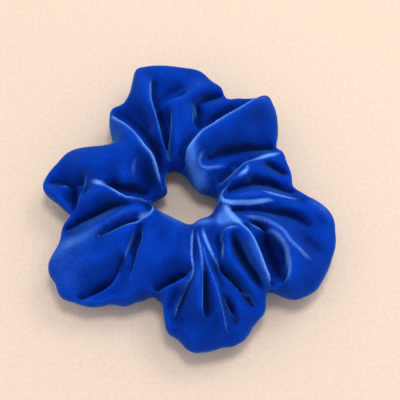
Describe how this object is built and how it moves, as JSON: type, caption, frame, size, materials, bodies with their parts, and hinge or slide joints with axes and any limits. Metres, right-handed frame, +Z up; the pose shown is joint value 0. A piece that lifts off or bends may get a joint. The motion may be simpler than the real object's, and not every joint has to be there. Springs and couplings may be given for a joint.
{
  "type": "hair scrunchie",
  "caption": "Stretchy hair scrunchie: a gathered blue velvet tube over an elastic ring, in soft puffs round a small hole.",
  "frame": {"origin": "on the surface the scrunchie lies on, under the middle of its bounding box, close to the middle of its hole", "axes": "+Z up through the hole; +Y from the near half to the far half, the way the ring is pulled open; +X to the right"},
  "size_m": [0.1094, 0.1147, 0.0331],
  "materials": {
    "velvet": "stretch velvet, short dense pile with a silvery sheen at grazing angles",
    "braid": "white braided polyester, matt",
    "rubber_core": "natural rubber, matt",
    "blue_thread": "spun polyester sewing thread, royal blue",
    "white_thread": "spun polyester sewing thread, white"
  },
  "bodies": {
    "near_half": {"cover_near_half": "velvet", "elastic_near": "braid", "rubber_cores_near": "rubber_core", "long_seam_thread_near": "blue_thread", "closing_seam_thread": "blue_thread", "elastic_join_thread": "white_thread"},
    "far_half": {"cover_far_half": "velvet", "elastic_far": "braid", "rubber_cores_far": "rubber_core", "long_seam_thread_far": "blue_thread"}
  },
  "joints": [
    {"name": "stretch", "type": "slide", "parent": "near_half", "child": "far_half", "axis": [0, 1, 0], "range_m": [0, 0.07], "stiffness_N_per_m": 90}
  ]
}
